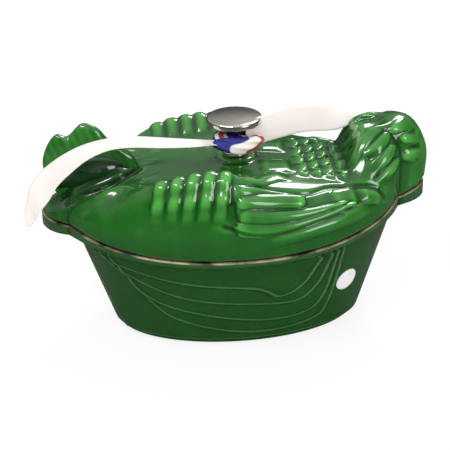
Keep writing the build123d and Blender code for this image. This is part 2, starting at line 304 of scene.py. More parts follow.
def ring_mesh(name, rings, start=None, end=None):
    """A closed skin through rings of points in millimetres, ending in the points start and end."""
    rings = np.array(rings, float) / 1000
    rows, around = rings.shape[:2]
    points = [tuple(p) for p in rings.reshape(-1, 3)]
    index = np.arange(rows * around).reshape(rows, around)
    low, high = index[:-1], index[1:]
    faces = np.stack(
        [low, np.roll(low, -1, axis=1), np.roll(high, -1, axis=1), high], axis=-1
    ).reshape(-1, 4).tolist()
    for tip, row, flip in ((start, index[0], True), (end, index[-1], False)):
        if tip is not None:
            points.append(tuple(np.array(tip, float) / 1000))
            for a, b in zip(row.tolist(), np.roll(row, -1).tolist()):
                faces.append((b, a, len(points) - 1) if flip else (a, b, len(points) - 1))
    mesh = bpy.data.meshes.new(name)
    mesh.from_pydata(points, [], faces)
    mesh.update()
    piece = bpy.data.objects.new(name, mesh)
    bpy.context.scene.collection.objects.link(piece)
    mesh.shade_smooth()
    return piece


def face_outward(piece):
    """Turns every face of a closed mesh to the outside."""
    work = bmesh.new()
    work.from_mesh(piece.data)
    bmesh.ops.recalc_face_normals(work, faces=work.faces)
    work.to_mesh(piece.data)
    work.free()


def mark_vertices(piece, name, values, rest=0.0):
    """Gives the vertices an attribute. Those past the end of the values get the rest."""
    full = np.full(len(piece.data.vertices), rest, dtype=np.float32)
    full[: len(values)] = values
    piece.data.attributes.new(name, "FLOAT", "POINT").data.foreach_set("value", full)


def curvature(rings, reach):
    """How much each point of a grid of rings bulges above its neighbours, in millimetres."""
    p = np.array(rings, float)
    around = (np.roll(p, reach, axis=1) + np.roll(p, -reach, axis=1)) / 2
    padded = np.concatenate([np.repeat(p[:1], reach, 0), p, np.repeat(p[-1:], reach, 0)])
    along = (padded[: -2 * reach] + padded[2 * reach :]) / 2
    side = np.roll(p, -1, axis=1) - np.roll(p, 1, axis=1)
    up = np.gradient(p, axis=0)
    normal = np.cross(side, up)
    length = np.linalg.norm(normal, axis=2, keepdims=True)
    normal = normal / np.maximum(length, 1e-9)
    return ((p - around) * normal).sum(2) + ((p - along) * normal).sum(2)


def enamel(name, deep, middle, thin_and_lit):
    """Glossy translucent enamel: three colours by the tone attribute, with faint clouding. The tone
    holds thin and pooled enamel together with painted highlight and painted shade, so the deep
    colour also serves as painted shade and the light one as painted highlight.
    """
    material = blank_material(name)
    tree = material.node_tree
    place = Wire.add(tree, "ShaderNodeTexCoord", output="Object")
    tone = Wire.add(tree, "ShaderNodeAttribute", {"attribute_name": "tone"}, output="Fac")
    cloud_inputs = {"Vector": place, "Scale": 55.0, "Detail": 4.0}
    cloud = Wire.add(tree, "ShaderNodeTexNoise", inputs=cloud_inputs)
    # Dark end: pooled enamel and painted shade; light end: thin enamel and painted highlight.
    stops = [(0.0, deep), (0.5, middle), (1.0, thin_and_lit)]
    shade = tone + (cloud - 0.5) * 0.28
    colour = Wire.add(tree, "ShaderNodeValToRGB", {"stops": stops}, {"Fac": shade}, "Color")
    gloss = {"Roughness": 0.16, "IOR": 1.52, "Coat Weight": 0.6, "Coat Roughness": 0.04}
    skin = Wire.add(tree, "ShaderNodeBsdfPrincipled", inputs={"Base Color": colour, **gloss})
    Wire.add(tree, "ShaderNodeOutputMaterial", inputs={"Surface": skin})
    return material


def plain(name, colour, roughness, metallic=0.0, grain=0.0, grain_scale=240.0, darkest=0.6):
    """A plain finish with a faint uneven tone."""
    material = blank_material(name)
    tree = material.node_tree
    place = Wire.add(tree, "ShaderNodeTexCoord", output="Object")
    speck_inputs = {"Vector": place, "Scale": grain_scale, "Detail": 3.0}
    speck = Wire.add(tree, "ShaderNodeTexNoise", inputs=speck_inputs)
    darker, lighter = [c * darkest for c in colour], [min(1.0, c * 1.3) for c in colour]
    stops = [(0.0, darker), (1.0, lighter)]
    shade = (speck - 0.5) * grain + 0.5
    tint = Wire.add(tree, "ShaderNodeValToRGB", {"stops": stops}, {"Fac": shade}, "Color")
    finish = {"Base Color": tint, "Roughness": roughness, "Metallic": metallic}
    skin = Wire.add(tree, "ShaderNodeBsdfPrincipled", inputs=finish)
    Wire.add(tree, "ShaderNodeOutputMaterial", inputs={"Surface": skin})
    return material


def ring_points(plan, z):
    """A level ring over its plan."""
    x, y = plan
    return np.stack([x, y, z + np.zeros(ROUND)], axis=1)


def paint_rings(piece, first, last, slot):
    """Gives the faces between two rings a material slot."""
    numbers = np.zeros(len(piece.data.polygons), dtype=np.int32)
    piece.data.polygons.foreach_get("material_index", numbers)
    numbers[first * ROUND : last * ROUND] = slot
    piece.data.polygons.foreach_set("material_index", numbers)


# The flat foot and its rounded edge, then the wall up to the underside of the rim.
pot_rings = [ring_points(oval_ring(*FOOT_FLAT), 0.0)]
for step in np.linspace(0, math.pi / 2, 6):
    inward = FOOT_ROUND * (1 - math.sin(step))
    pot_rings.append(ring_points(wall_ring(0.0, -inward), FOOT_ROUND * (1 - math.cos(step))))
wall_low = FOOT_ROUND + 0.5
rim_plan = rim_ring()
at_rim = rim_z(rim_plan[0])
along_lip = (np.abs(rim_plan[0]) / TAIL_REACH) ** 4
shelf_top = at_rim - (BAND_THICK + (LIP_THICK - BAND_THICK) * along_lip)
for share in np.linspace(0, 1, 118):
    z = wall_low + (shelf_top - 1.0 - wall_low) * share
    x, y = wall_ring(z, 0.0)
    proud = wall_relief(x, z)
    pot_rings.append(ring_points(wall_ring(z, proud), z))
# The rim: out to the lips, up their edge and back in over the bare top.
x_top, y_top = pot_rings[-1][:, 0], pot_rings[-1][:, 1]
for share in (0.15, 0.4, 0.7, 0.92, 1.0):
    out_x = x_top + (rim_plan[0] - x_top) * share
    out_y = y_top + (rim_plan[1] - y_top) * share
    pot_rings.append(np.stack([out_x, out_y, shelf_top - 1.0 + 1.3 * share**2], axis=1))
pot_rings.append(np.stack([*rim_plan, at_rim - 1.2], axis=1))
rim_corner = len(pot_rings) - 1
pot_rings.append(np.stack([*rim_ring(0.4), rim_z(rim_ring(0.4)[0]) - 0.2], axis=1))
for share in (0.05, 0.5, 1.0):
    inner = wall_ring(RIM_HEIGHT, -WALL)
    edge = rim_ring(0.9)
    x = edge[0] + (inner[0] - edge[0]) * share
    y = edge[1] + (inner[1] - edge[1]) * share
    pot_rings.append(np.stack([x, y, rim_z(x)], axis=1))
bare_end = len(pot_rings) - 1
# The black inside, down the wall and round into the floor.
for share in np.linspace(0.02, 1, 22):
    z = rim_z(x) + (FLOOR_THICK + FLOOR_ROUND - rim_z(x)) * share
    pot_rings.append(ring_points(wall_ring(z, -WALL), z))
for step in np.linspace(0.2, math.pi / 2, 7):
    z = FLOOR_THICK + FLOOR_ROUND * (1 - math.sin(step))
    inward = WALL + FLOOR_ROUND * (1 - math.cos(step))
    pot_rings.append(ring_points(wall_ring(z, -inward), z))
pot = ring_mesh("pot_skin", pot_rings, start=(0, 0, 0), end=(0, 0, FLOOR_THICK))
# Lighter on the feathers' edges, partly thin enamel and partly painted highlight, and darker in the
# hollows, partly pooled enamel and partly painted shade. The top of the wall under the rim gets
# painted shade.
# Curvature tone: thin and pooled enamel, with painted highlight on edges and painted shade in
# hollows.
bulge = curvature(pot_rings, 2)
pot_tone = 0.44 + 0.55 * np.clip(bulge, -0.6, 0.7)
pot_z = np.array(pot_rings)[:, :, 2]
# Painted shade: the wall is darkened towards its top, under the rim's overhang.
pot_tone -= 0.10 * smooth(pot_z, 60, 90) + 0.16 * smooth(pot_z, 84, 93)
mark_vertices(pot, "tone", np.clip(pot_tone, 0, 1).ravel(), MIDDLE_TONE)
pot.data.materials.append(
    enamel("pot_enamel", (0.002, 0.014, 0.002), (0.009, 0.070, 0.008), (0.07, 0.20, 0.06))
)
bare_iron = {"metallic": 0.3, "grain": 3.5, "grain_scale": 60.0, "darkest": 0.08}
pot.data.materials.append(plain("bare_rim", (0.30, 0.24, 0.155), 0.42, **bare_iron))
pot.data.materials.append(plain("black_enamel", (0.012, 0.012, 0.013), 0.55, grain=2.0))
paint_rings(pot, rim_corner, bare_end, 1)
paint_rings(pot, bare_end, len(pot_rings) - 1, 2)
for polygon in pot.data.polygons[-ROUND:]:
    polygon.material_index = 2
face_outward(pot)
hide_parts("pot")
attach(pot, "pot")


# Lid: one iron casting, the back of a sitting hen with raised wings, a fanned tail and a
# collar, in a lighter and more see-through green enamel than the pot. Matt black beneath,
# with a ring that drops inside the pot's opening.
CROWN, CROWN_FALL = 53.0, 13.0
WING_HEIGHT, WING_X, WING_Y, WING_WIDTH = 22.0, -36.0, 68.0, 17.0
TAIL_FOOT_HEIGHT, TAIL_TOP_HEIGHT, TAIL_WIDTH = 36.0, 23.5, 40.0
HEAD_X, HEAD_HEIGHT, COLLAR_HEIGHT = -112.0, 20.0, 9.0
EDGE = 5.0
SEAM = 0.3
LID_WALL = 5.5
FLANGE_OUT, FLANGE_IN, FLANGE_DEPTH = (120.0, 74.0), (114.0, 69.0), 5.5
BOSS_X, BOSS_RISE = 4.0, 3.0


def bump(value, centre, spread, power=2.0):
    """A smooth hill of height 1."""
    return np.exp(-((np.abs(value - centre) / spread) ** power))


def back_z(x, y):
    """The hen's back before it rolls off to the rim."""
    side = np.abs(y)
    z = RIM_HEIGHT + CROWN - CROWN_FALL * (x / 100) ** 2
    wing = bump(x, WING_X, np.where(x < WING_X, 53, 48), 4)
    crest = WING_Y - 12 * smooth(-x, 48, 105)
    z = z + WING_HEIGHT * wing * bump(side, crest, WING_WIDTH)
    tail = TAIL_FOOT_HEIGHT * smooth(x, 83, 109) + TAIL_TOP_HEIGHT * smooth(x, 102, 144)
    z = z + tail * bump(y, 0, TAIL_WIDTH, 4)
    z = z + HEAD_HEIGHT * bump(x, HEAD_X, 30) * bump(y, 0, 13)
    return z + COLLAR_HEIGHT * bump(x, HEAD_X, 30, 4) * bump(side, 37, 8)


def lid_z(x, y, half_width, reach, boxier=1.0, low=EDGE, sink=0.0):
    """Outer or inner surface of the lid over a plan point."""
    across = np.maximum(0.0, 1 - (np.abs(y) / half_width) ** (6 * boxier))
    along = np.maximum(0.0, 1 - (np.abs(x) / reach) ** (np.where(x < 0, 8, 16) * boxier))
    floor_level = rim_z(x) + low
    return floor_level + (back_z(x, y) - sink - floor_level) * np.sqrt(across * along)


def path_distance(points, places, steps=6):
    """Distance of each point from a smooth curve, and how far along it the nearest place is."""
    path = rounded_path(places, steps)
    best = np.full(points.shape[:-1], 1e9)
    along = np.zeros(points.shape[:-1])
    gone = 0.0
    lengths = np.linalg.norm(np.diff(path, axis=0), axis=1)
    for a, b, length in zip(path[:-1], path[1:], lengths):
        share = np.clip(((points - a) @ (b - a)) / length**2, 0, 1)
        distance = np.linalg.norm(points - (a + share[..., None] * (b - a)), axis=-1)
        closer = distance < best
        best = np.where(closer, distance, best)
        along = np.where(closer, gone + share * length, along)
        gone += length
    return best, along / gone


def bead(points, places, radius, proud, taper=0.0, ease=0.0):
    """A rounded ridge along a curve. Taper narrows it towards its end, ease fades both ends."""
    distance, along = path_distance(points, places)
    width = radius * (1 - taper * along)
    faded = smooth(along, 0.0, ease) * smooth(1 - along, 0.0, ease) if ease else 1.0
    return proud * faded * np.sqrt(np.maximum(0.0, 1 - (distance / width) ** 2))


def groove(points, places, radius, deep):
    """A rounded hollow along a curve."""
    distance, _ = path_distance(points, places)
    return -deep * np.exp(-((distance / radius) ** 2))


FIRST_RIB, RIB_PITCH, RIB_COUNT, RIB_HALF = -59.0, 12.4, 5, 6.3
WING_ROOT = [(-8, 60, 150), (-2, 72, 145), (1, 80, 134), (2, 84, 124)]
# Each long feather: its line, half its width, how proud it is, its taper and its fading ends.
LONG_FEATHERS = [
    ([(2, 76, 137), (16, 74, 136), (30, 71, 134), (46, 69, 132)], 6.0, 3.6, 0.0, 0.0),
    ([(2, 72, 145), (20, 67, 140), (42, 66, 136)], 4.5, 2.2, 0.5, 0.0),
    (
        [(4, 81, 128), (22, 80, 125), (40, 77, 124), (57, 73, 124), (72, 68, 125), (88, 61, 126)],
        6.4, 2.9, 0.8, 0.0,
    ),
    (
        [(2, 85, 119), (18, 84, 116), (36, 82, 116), (58, 76, 118), (76, 68, 121), (92, 60, 123)],
        7.0, 2.5, 0.8, 0.0,
    ),
    (
        [(6, 88, 106), (34, 85, 109), (61, 78, 112), (84, 68, 114), (105, 54, 116), (118, 43, 119)],
        6.5, 2.4, 0.0, 0.3,
    ),
]
# Each groove along the flank: its line, its width and its depth.
FLANK_GROOVES = [
    ([(-13, 83, 121), (8, 86, 114), (34, 83, 113), (61, 76, 117), (80, 67, 118)], 2.0, 1.4),
    (
        [
            (-5, 66, 151), (21, 62, 143), (44, 64, 138), (57, 61, 135),
            (75, 51, 134), (98, 46, 131), (112, 45, 127), (118, 42, 118),
        ],
        2.2, 2.2,
    ),
]
# The two coverts by the tail, then the smooth leaves beside and on the saddle, in the same
# order as the long feathers' values.
LEAVES = [
    ([(72, 65, 126), (84, 58, 128), (97, 52, 127)], 7.5, 2.4, -0.4, 0.3),
    ([(96, 53, 124), (107, 49, 124), (117, 44, 119)], 7.0, 1.8, 0.0, 0.35),
    ([(0, 64, 148), (14, 54, 144), (30, 44, 143), (44, 40, 141)], 8.0, 2.4, 0.0, 0.25),
    ([(18, 22, 143), (34, 22, 142), (50, 20, 141)], 13.0, 2.6, 0.0, 0.3),
]
SCALE_ROWS, SCALE_PITCH = (54.0, 64.5, 75.0, 85.5), 17.0
TAIL_FRONT = [(90, 34, 137), (98, 28, 148), (106, 23, 158), (116, 17, 167), (130, 10, 173)]
TAIL_MIDDLE = [(100, 9, 150), (108, 7, 160), (120, 4, 168)]
TAIL_FEATHERS = [
    ([(104, 34, 146), (116, 30, 157), (130, 21, 167), (146, 10, 170)], 6.0, 3.2),
    ([(108, 38, 138), (121, 34, 148), (136, 25, 157), (152, 12, 160)], 6.0, 3.2),
    ([(114, 41, 129), (125, 35, 136), (139, 25, 142), (153, 12, 142)], 5.5, 2.6),
]
TAIL_GROOVES = [
    [(108, 35, 150), (121, 31, 158), (135, 22, 162), (149, 12, 161)],
    [(112, 40, 134), (124, 36, 143), (138, 26, 149), (152, 13, 149)],
]
NECK = [(-137, 8, 122), (-120, 9, 130), (-104, 10, 134), (-92, 8, 138), (-84, 2, 141)]
NECK_HOLLOW = [
    (-136, 18, 119), (-120, 19, 126), (-104, 19, 131),
    (-92, 16, 136), (-82, 10, 140), (-76, 4, 142),
]
COLLAR_LEAVES = [[(-84, 22, 141), (-70, 20, 143), (-56, 16, 144)], [(-70, 34, 143), (-54, 32, 145)]]


def lid_relief(p):
    """Feathers of the lid, in millimetres along its surface, the same on both sides."""
    x, y, z = p[..., 0], p[..., 1], p[..., 2]
    side = np.abs(y)
    q = np.stack([x, side, z], axis=-1)
    # Short feathers across each wing's crest, which lap over each other down its flank.
    down = (side - 60) + (152 - z)
    leaning = x + 0.16 * down
    rounds = np.zeros_like(x)
    for i in range(RIB_COUNT):
        off = (leaning - FIRST_RIB - RIB_PITCH * i) / RIB_HALF
        rounds = np.maximum(rounds, np.sqrt(np.maximum(0.0, 1 - off**2)))
    lap = 0.5 + 0.5 * np.cos(2 * math.pi * (down - 8) / 19)
    on_wing = smooth(side, 43, 52) * np.where(side > 60, smooth(z, 121, 143), 1.0)
    on_wing = on_wing * smooth(leaning, -67, -63) * (1 - smooth(leaning, -4, -1))
    relief = on_wing * (3.9 * rounds - 2.2 + 1.1 * lap * rounds)
    # The rolled root of the long wing feathers, the feathers and the grooves between them.
    relief += bead(q, WING_ROOT, 4.5, 1.8, ease=0.2)
    for places, radius, proud, taper, ease in LONG_FEATHERS:
        relief = np.maximum(relief, bead(q, places, radius, proud, taper, ease))
    for places, radius, deep in FLANK_GROOVES:
        relief += groove(q, places, radius, deep)
    for places, radius, proud, taper, ease in LEAVES:
        relief += bead(q, places, radius, proud, taper, ease)
    # Rows of round feathers on the saddle.
    half_pitch = SCALE_PITCH / 2
    for row, start in enumerate(SCALE_ROWS):
        offset = 0.0 if row % 2 else half_pitch
        nearest = (side - offset + half_pitch) % SCALE_PITCH - half_pitch
        tip = start + 6.0 * np.sqrt(np.maximum(0.0, 1 - (nearest / 8.6) ** 2))
        shell = smooth(tip - x, 0.0, 2.2) * smooth(x, start - 9.0, start + 4.0)
        dome = 1 - 0.35 * (nearest / half_pitch) ** 2
        relief += 3.6 * shell * (1 - smooth(side, 34, 42)) * dome
    # Tail: long feathers up its front and round its sides, with a rolled edge.
    fan = smooth(x, 88, 96) * smooth(z, 128, 138)
    relief += bead(q, TAIL_FRONT, 5.0, 2.2, ease=0.3)
    relief += groove(q, TAIL_MIDDLE, 6.0, 2.2) * fan
    for places, radius, proud in TAIL_FEATHERS:
        relief += fan * bead(q, places, radius, proud, ease=0.35)
    for places in TAIL_GROOVES:
        relief += fan * groove(q, places, 2.6, 1.6)
    # Collar and head: the neck stands out of a hollow and small feathers edge the collar.
    relief += bead(q, NECK, 12.0, 3.2, ease=0.2)
    relief += groove(q, NECK_HOLLOW, 2.6, 3.6)
    for places in COLLAR_LEAVES:
        relief += bead(q, places, 6.0, 1.6, ease=0.45)
    return relief


UP_RINGS, CREASE_PASSES, TAIL_OVERHANG = 150, 260, 3.5
spread = np.linspace(1.0, 0.0, UP_RINGS + 1)[1:]
lid_plan = rim_ring()
base_rings = []
for w in spread:
    share = 1 - w**2
    x, y = lid_plan[0] * share, lid_plan[1] * share
    half = np.maximum(outline_y(x), 1e-3)
    reach = np.where(x < 0, HEAD_REACH, TAIL_REACH)
    base_rings.append(np.stack([x, y, lid_z(x, y, half, reach)], axis=1))
base = np.array(base_rings)
# The corner between the oval and each lip is evened out up the lid, and the tail is drawn
# out past its lip.
crease = bump(np.abs(base[..., 0]), 131, 18, 4) * smooth(spread, 0.02, 0.18)[:, None]
for _ in range(CREASE_PASSES):
    level = (np.roll(base[..., 2], 1, axis=1) + np.roll(base[..., 2], -1, axis=1)) / 2
    base[..., 2] += crease * (level - base[..., 2])
base[..., 0] += TAIL_OVERHANG * smooth(base[..., 0], 118, 154) * bump(base[..., 2], 148, 24)
side_step = np.roll(base, -1, axis=1) - np.roll(base, 1, axis=1)
out_step = np.gradient(base, axis=0)
normal = np.cross(out_step, side_step)
normal /= np.maximum(np.linalg.norm(normal, axis=2, keepdims=True), 1e-9)
normal[normal[..., 2] < 0] *= -1
relief = lid_relief(base)
knob_flat = np.hypot(base[..., 0] - BOSS_X, base[..., 1])
relief = relief * smooth(knob_flat, 17, 26) * smooth(spread, 0.0, 0.12)[:, None]
shaped = base + normal * relief[..., None]
shaped[..., 2] += BOSS_RISE * (1 - smooth(knob_flat, 14.5, 17.5))
lid_rings = list(shaped)
# The edge rolls under to the seam, then the flange drops inside the pot's opening.
for inset, drop in ((0.3, 1.6), (0.8, 2.8), (1.7, 3.6)):
    plan = rim_ring(inset)
    lid_rings.append(np.stack([*plan, rim_z(plan[0]) + EDGE - drop], axis=1))
dark_start = len(lid_rings) - 1
plan = rim_ring(2.4)
lid_rings.append(np.stack([*plan, rim_z(plan[0]) + SEAM], axis=1))
plan = oval_ring(*FLANGE_OUT)
lid_rings.append(np.stack([*plan, rim_z(plan[0]) + SEAM], axis=1))
lid_rings.append(np.stack([*plan, rim_z(plan[0]) - FLANGE_DEPTH], axis=1))
plan = oval_ring(*FLANGE_IN)
lid_rings.append(np.stack([*plan, rim_z(plan[0]) - FLANGE_DEPTH], axis=1))
# The hollow under the back.
for w in np.linspace(0.02, 1.0, 24)[:-1]:
    share = 1 - w**2
    x, y = plan[0] * share, plan[1] * share
    half = FLANGE_IN[1] * np.sqrt(np.maximum(0.0, 1 - (x / FLANGE_IN[0]) ** 2))
    z = lid_z(x, y, np.maximum(half, 1.0), FLANGE_IN[0], boxier=2.0, low=0.0, sink=LID_WALL)
    lid_rings.append(np.stack([x, y, z], axis=1))
back_top = RIM_HEIGHT + CROWN
lid = ring_mesh(
    "lid_skin", lid_rings, start=(0, 0, back_top + BOSS_RISE), end=(0, 0, back_top - LID_WALL)
)
# Lighter on every ridge, partly thin enamel and partly painted highlight, and darker in the
# hollows, partly pooled enamel and partly painted shade. Painted shade low on the flanks, and
# pooled enamel with painted shade beside the head.
fine, broad = -curvature(shaped, 1), -curvature(shaped, 4)
# Raised feathers and ridges lighter, hollows darker: thin and pooled enamel, with painted highlight
# and painted shade.
lid_tone = 0.48 + 0.02 * relief
lid_tone += 0.6 * np.clip(fine, -0.35, 0.35) + 0.10 * np.clip(broad, -2.0, 2.5)
# Painted shade: darker low on the flanks, towards the rim.
lid_tone -= 0.14 * (1 - smooth(base[..., 2], 98, 118))
# Darker in the hollow beside the head: partly pooled enamel, partly painted shade.
pooled_and_shaded_by_head = 1 - smooth(np.abs(base[..., 1]), 14, 24)
lid_tone -= 0.46 * bump(base[..., 0], HEAD_X, 30, 4) * pooled_and_shaded_by_head
lid_tone = np.clip(lid_tone, 0.02, 1.0)
mark_vertices(lid, "tone", lid_tone.ravel(), MIDDLE_TONE)
lid_green = enamel("lid_enamel", (0.002, 0.016, 0.003), (0.010, 0.105, 0.009), (0.07, 0.34, 0.05))
lid.data.materials.append(lid_green)
lid.data.materials.append(bpy.data.materials["black_enamel"])
paint_rings(lid, dark_start, len(lid_rings) - 1, 1)
for polygon in lid.data.polygons[-ROUND:]:
    polygon.material_index = 1
face_outward(lid)
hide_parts("lid")
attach(lid, "lid")


# Comb: the upright plate of three lobes that grows out of the hen's head. Iron, cast with
# the lid and covered with its enamel, with rounded faces and a thin rolled edge.
def pillow(name, outline, centre, thick, rings=14):
    """A plate in the X-Z plane with rounded faces, thickest in the middle."""
    edge = rounded_path([*outline, outline[0]], 10)[:-1]
    shares = np.sin(np.linspace(0, math.pi / 2, rings))[1:]
    half = [thick / 2 * math.sqrt(1 - s**5) for s in shares]
    grid = [*zip(shares, half), *((s, -t) for s, t in zip(shares[-2::-1], half[-2::-1]))]
    rows = []
    for s, t in grid:
        flat = np.array(centre) + (edge - np.array(centre)) * s
        rows.append(np.stack([flat[:, 0], np.full(len(flat), t), flat[:, 1]], axis=1))
    start = (centre[0], thick / 2, centre[1])
    end = (centre[0], -thick / 2, centre[1])
    return ring_mesh(name, rows, start=start, end=end), np.array(rows)


comb_outline = [
    (-143, 119), (-151, 131), (-154, 149), (-149, 164), (-141, 173), (-132, 171), (-120, 181),
    (-108, 177), (-99, 166), (-89, 159), (-78, 148), (-76, 134), (-95, 126), (-120, 120),
]
comb, comb_rows = pillow("comb", comb_outline, (-116, 146), 11.0)
# Lighter on the rolled edge and darker where the face dips: partly thin and pooled enamel, partly
# painted highlight and painted shade.
comb_tone = 0.62 + 0.3 * np.clip(curvature(comb_rows, 1), -0.5, 0.8)
# Faint slanting streaks of thinner enamel.
comb_tone += 0.05 * np.sin(comb_rows[..., 0] * 0.9 + comb_rows[..., 2] * 0.35)
mark_vertices(comb, "tone", np.clip(comb_tone, 0, 1).ravel(), MIDDLE_TONE)
comb.data.materials.append(lid_green)
face_outward(comb)
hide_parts("lid")
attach(comb, "lid")


# Head: skull, beak and two eyes in one rounded form under the comb. Iron, cast with the lid, and
# toned dark: partly enamel gathered in the hollow round it, partly painted shade.
SKULL_HALF, SKULL_PLACE = [30.0, 15.0, 15.0], [-116.0, 0.0, 141.0]
BEAK_REACH, BEAK_DROP, BEAK_TAPER = 9.0, 10.0, 0.55
EYE_X, EYE_Y, EYE_Z, EYE_RADIUS, EYE_PROUD = 2.0, 14.5, 2.0, 4.0, 2.2
# The head's dark tone is partly pooled enamel and partly painted shade.
HEAD_TONE = 0.12
bpy.ops.mesh.primitive_uv_sphere_add(segments=48, ring_count=32, radius=1.0)
head = bpy.context.active_object
head.name = "head"
skull = np.array([list(v.co) for v in head.data.vertices])
skull = skull * SKULL_HALF
nose = smooth(-skull[:, 0], 12, 30)
skull[:, 1] *= 1 - BEAK_TAPER * nose
skull[:, 0] -= BEAK_REACH * nose
skull[:, 2] -= BEAK_DROP * nose
for eye_side in (-1, 1):
    toward = np.linalg.norm(skull - [EYE_X, eye_side * EYE_Y, EYE_Z], axis=1)
    skull[:, 1] += eye_side * EYE_PROUD * np.exp(-((toward / EYE_RADIUS) ** 2))
skull += SKULL_PLACE
for vertex, place in zip(head.data.vertices, skull):
    vertex.co = place / 1000
head.data.shade_smooth()
mark_vertices(head, "tone", np.full(len(skull), HEAD_TONE))
head.data.materials.append(lid_green)
head.select_set(False)
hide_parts("lid")
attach(head, "lid")


# Knob: turned steel with a flat satin disc, a flared neck and a small foot. It is bored from
# below and stands on the lid's boss, held by the screw.
KNOB_X, KNOB_SEAT = 3.2, back_top + BOSS_RISE
KNOB_FOOT, KNOB_STRETCH, DISC_SHARE = 4.0, 1.15, 0.955
BORE_DEPTH = 14.0
knob_profile = [
    (3.3, 0.0), (10.6, 0.0), (11.0, 0.4), (11.0, 3.4), (10.4, KNOB_FOOT), (8.6, 4.6), (7.6, 6.0),
    (7.5, 9.0), (7.6, 14.0), (8.6, 17.0), (11.5, 19.6), (16.0, 21.9), (21.0, 23.6), (23.2, 24.4),
    (23.9, 25.4), (24.0, 26.6), (23.8, 27.9), (23.0, 28.7), (21.6, 29.0), (18.0, 29.3),
    (12.0, 29.7), (6.0, 29.9), (1.5, 30.0),
]
KNOB_ROUND = 128
spin = np.linspace(0, 2 * math.pi, KNOB_ROUND, endpoint=False)


def lathe(name, profile, start, end):
    """A turned piece on the knob's axis."""
    rows = []
    for r, z in profile:
        level = np.full(KNOB_ROUND, KNOB_SEAT + z)
        rows.append(np.stack([KNOB_X + r * np.cos(spin), r * np.sin(spin), level], axis=1))
    tips = [(KNOB_X, 0, KNOB_SEAT + z) for z in (start, end)]
    return ring_mesh(name, rows, start=tips[0], end=tips[1])


bore = [(0.5, BORE_DEPTH), (3.0, BORE_DEPTH), (3.1, 0.0)]
# Above its foot the profile is rounded and stretched, and the disc drawn in a little.
fine_profile = [
    (r * (DISC_SHARE if r > 12 else 1.0), KNOB_FOOT + (z - KNOB_FOOT) * KNOB_STRETCH)
    for r, z in rounded_path(knob_profile[4:], 3)
]
knob_rows = [*bore, *knob_profile[:4], *fine_profile]
knob = lathe("knob_turned", knob_rows, BORE_DEPTH, fine_profile[-1][1])
steel = blank_material("knob_steel")
tree = steel.node_tree
place = Wire.add(tree, "ShaderNodeTexCoord", output="Object")
turning = Wire.add(
    tree, "ShaderNodeTexNoise", inputs={"Vector": place, "Scale": 900.0, "Detail": 2.0}
)
polish = turning * 0.08 + 0.16
finish = {"Base Color": (0.63, 0.60, 0.54, 1.0), "Metallic": 1.0, "Roughness": polish}
metal = Wire.add(tree, "ShaderNodeBsdfPrincipled", inputs=finish)
Wire.add(tree, "ShaderNodeOutputMaterial", inputs={"Surface": metal})
knob.data.materials.append(steel)
face_outward(knob)
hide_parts("knob")
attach(knob, "lid")


# Screw and washer: the steel fastening that comes up through the lid's boss into the knob.
# Both keep the form they are built with and get a plain turned finish.
screw_metal = plain("screw_steel", (0.5, 0.5, 0.5), 0.35, metallic=1.0, grain=0.6)
for node_name in ("knob_screw", "knob_washer"):
    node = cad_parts[node_name]
    node.data.materials.clear()
    node.data.materials.append(screw_metal)


# Ribbon tails: the two ends of one length of woven ribbon tied round the knob's neck. One
# bows over the hen's head, the other stands on edge behind the saddle.
RIBBON_WIDTH, RIBBON_THICK = 22.0, 0.45


def ribbon_strip(name, route, across=14, ripple=0.0):
    """A closed thin strip along a route of (x, y, z, tilt, share of the width)."""
    r = rounded_path(route, 10)
    middle, tilt, share = r[:, :3], np.radians(r[:, 3]), np.clip(r[:, 4], 0.04, 1.0)
    along = np.gradient(middle, axis=0)
    along /= np.linalg.norm(along, axis=1, keepdims=True)
    level = np.cross(along, [0.0, 0.0, 1.0])
    level /= np.linalg.norm(level, axis=1, keepdims=True)
    upright = np.cross(level, along)
    wide = np.cos(tilt)[:, None] * level + np.sin(tilt)[:, None] * upright
    face = np.cross(along, wide)
    gone = np.concatenate([[0], np.cumsum(np.linalg.norm(np.diff(middle, axis=0), axis=1))])
    rows, marks = [], []
    sheet_side = np.linspace(-0.5, 0.5, across)
    loop = [(v, 0.5) for v in sheet_side] + [(v, -0.5) for v in sheet_side[::-1]]
    for i in range(len(middle)):
        row = []
        for v, s_side in loop:
            cup = ripple * math.sin(gone[i] / 17.0 + v * 2.0) - 1.1 * (2 * v) ** 2 * share[i]
            point = middle[i] + wide[i] * v * RIBBON_WIDTH * share[i]
            row.append(point + face[i] * (cup + s_side * RIBBON_THICK))
            marks.append((gone[i] / 1000, (v + 0.5)))
        rows.append(row)
    rows = np.array(rows)
    piece = ring_mesh(name, rows, start=rows[0].mean(0), end=rows[-1].mean(0))
    for mark, values in zip(("run", "cross"), zip(*marks)):
        mark_vertices(piece, mark, [*values, values[0], values[-1]])
    face_outward(piece)
    return piece, gone[-1] / 1000


